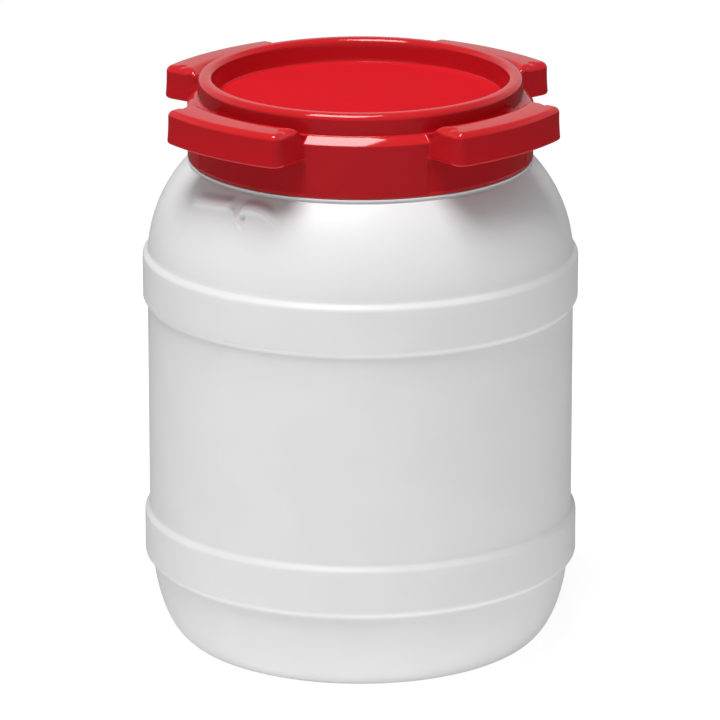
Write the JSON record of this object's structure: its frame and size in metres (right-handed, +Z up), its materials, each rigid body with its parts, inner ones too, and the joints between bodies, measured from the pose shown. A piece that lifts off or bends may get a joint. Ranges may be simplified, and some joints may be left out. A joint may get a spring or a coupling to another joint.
{
  "type": "wide-mouth screw-lid plastic drum",
  "caption": "White wide-neck plastic drum with raised bands, closed by a red screw lid with outward grips and a sealing ring.",
  "frame": {"origin": "centre of the drum's axis on the floor it stands on", "axes": "+Z up along the drum's axis; -Y is the front as pictured; +X to the right"},
  "size_m": [0.2, 0.2, 0.2667],
  "materials": {
    "white_plastic": "satin blow-moulded polyethylene",
    "red_plastic": "glossy injection-moulded red",
    "seal_rubber": "matte light grey elastomer"
  },
  "bodies": {
    "drum": {"drum_body": "white_plastic"},
    "seal": {"lid_gasket": "seal_rubber"},
    "lid": {"screw_lid": "red_plastic"}
  },
  "joints": [
    {"name": "lid_rise", "type": "slide", "parent": "drum", "child": "seal", "axis": [0, 0, 1], "range_m": [0, 0.04]},
    {"name": "lid_turn", "type": "hinge", "parent": "seal", "child": "lid", "pos_m": [0, 0, 0.2442], "axis": [0, 0, 1], "range_deg": [0, 1440]}
  ],
  "couplings": [
    {"joint": "lid_rise", "follows": "lid_turn", "m_per_rad": 0.0015915}
  ]
}
